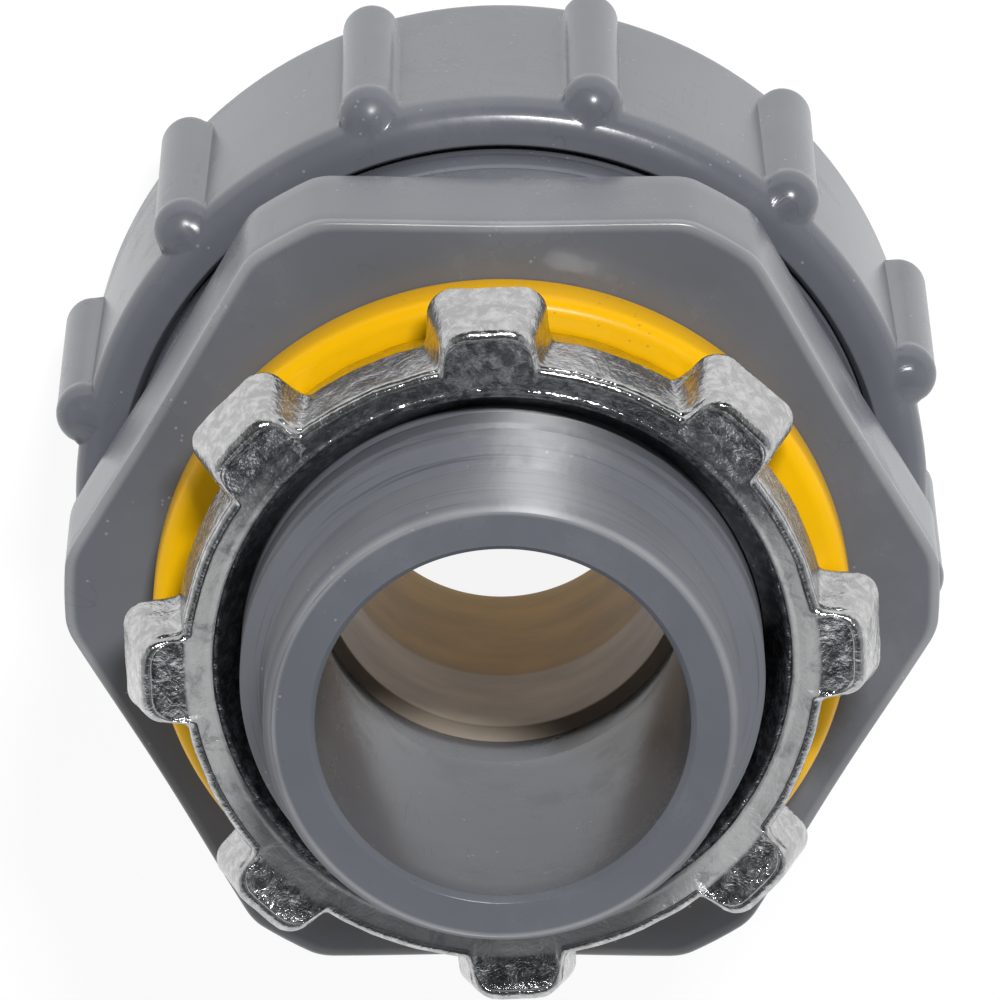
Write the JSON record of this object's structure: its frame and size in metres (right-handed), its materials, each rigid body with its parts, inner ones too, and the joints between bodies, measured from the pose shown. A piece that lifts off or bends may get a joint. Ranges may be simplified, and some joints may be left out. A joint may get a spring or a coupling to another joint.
{
  "type": "non-metallic conduit connector",
  "caption": "Straight connector for liquid-tight plastic conduit: threaded hub with hex flange, sealing ring and locknut, and a ribbed gland nut that clamps the conduit on a ferrule.",
  "frame": {"origin": "centre of the gland nut's flat end, on which the connector stands", "axes": "+Z runs along the bore from the gland nut to the threaded hub; +Y points to one flat of the hexagon, +X to one of its corners"},
  "size_m": [0.0372, 0.0372, 0.0392],
  "materials": {
    "grey_plastic": "satin",
    "yellow_plastic": "semi-gloss",
    "cast_zinc": "bright as-cast zinc",
    "tan_plastic": "semi-gloss"
  },
  "bodies": {
    "body": {"body": "grey_plastic", "ferrule": "tan_plastic"},
    "ring": {"sealing_ring": "yellow_plastic"},
    "locknut": {"locknut": "cast_zinc"},
    "wedge": {"compression_ring": "grey_plastic"},
    "nut": {"gland_nut": "grey_plastic"}
  },
  "joints": [
    {"name": "locknut_travel", "type": "slide", "parent": "body", "child": "ring", "axis": [0, 0, 1], "range_m": [0, 0.00726]},
    {"name": "locknut_turn", "type": "hinge", "parent": "ring", "child": "locknut", "pos_m": [0, 0, 0.0308], "axis": [0, 0, 1], "range_deg": [0, 1440]},
    {"name": "nut_travel", "type": "slide", "parent": "body", "child": "wedge", "axis": [0, 0, -1], "range_m": [0, 0.008]},
    {"name": "nut_turn", "type": "hinge", "parent": "wedge", "child": "nut", "pos_m": [0, 0, 0.008], "axis": [0, 0, -1], "range_deg": [0, 1440]}
  ],
  "couplings": [
    {"joint": "locknut_travel", "follows": "locknut_turn", "m_per_rad": 0.00028871},
    {"joint": "nut_travel", "follows": "nut_turn", "m_per_rad": 0.00031831}
  ]
}
